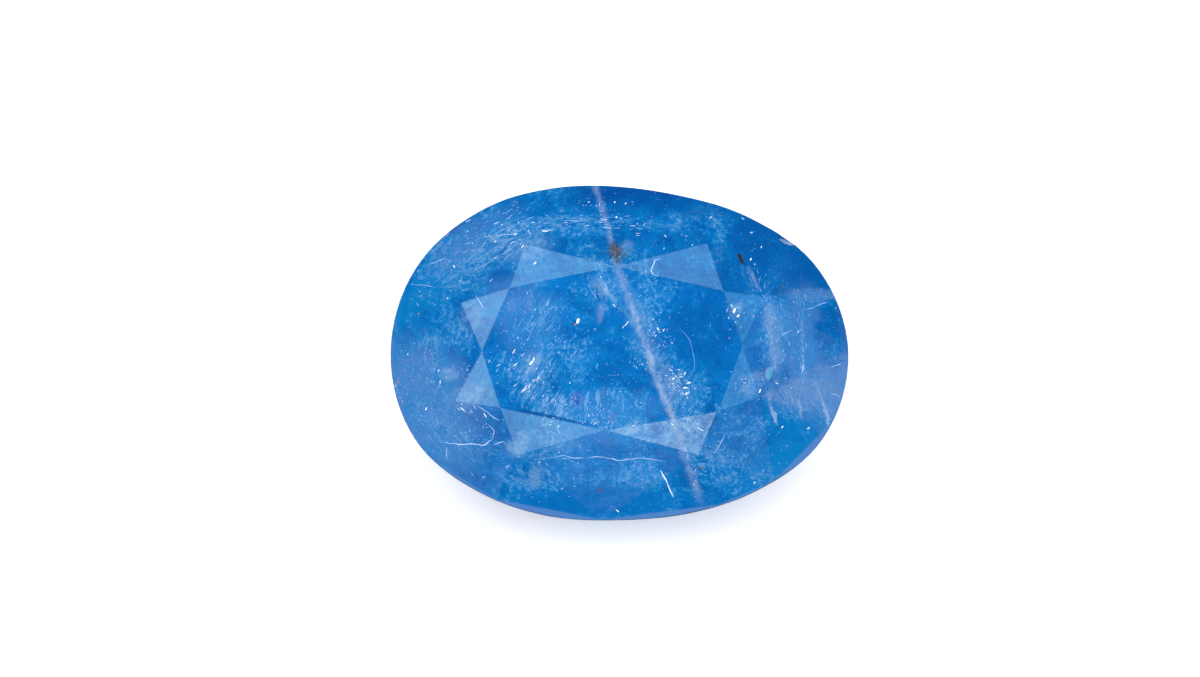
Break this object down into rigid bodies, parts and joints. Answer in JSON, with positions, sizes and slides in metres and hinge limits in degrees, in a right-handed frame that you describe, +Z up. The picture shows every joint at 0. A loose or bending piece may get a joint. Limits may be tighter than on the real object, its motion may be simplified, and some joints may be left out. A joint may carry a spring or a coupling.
{
  "type": "oval faceted sapphire",
  "caption": "Loose oval cut gemstone: flat octagonal table, faceted crown, thin girdle and stepped pavilion, lying on one pavilion facet.",
  "frame": {"origin": "middle of the stone's bounding box at the surface that it rests on", "axes": "+X along the long axis, +Z up, -Y towards the side that the table leans to"},
  "size_m": [0.014, 0.0094, 0.0065],
  "materials": {
    "sapphire": "polished, milky blue with white silk and veils"
  },
  "bodies": {
    "root": {"sapphire": "sapphire"}
  },
  "joints": []
}
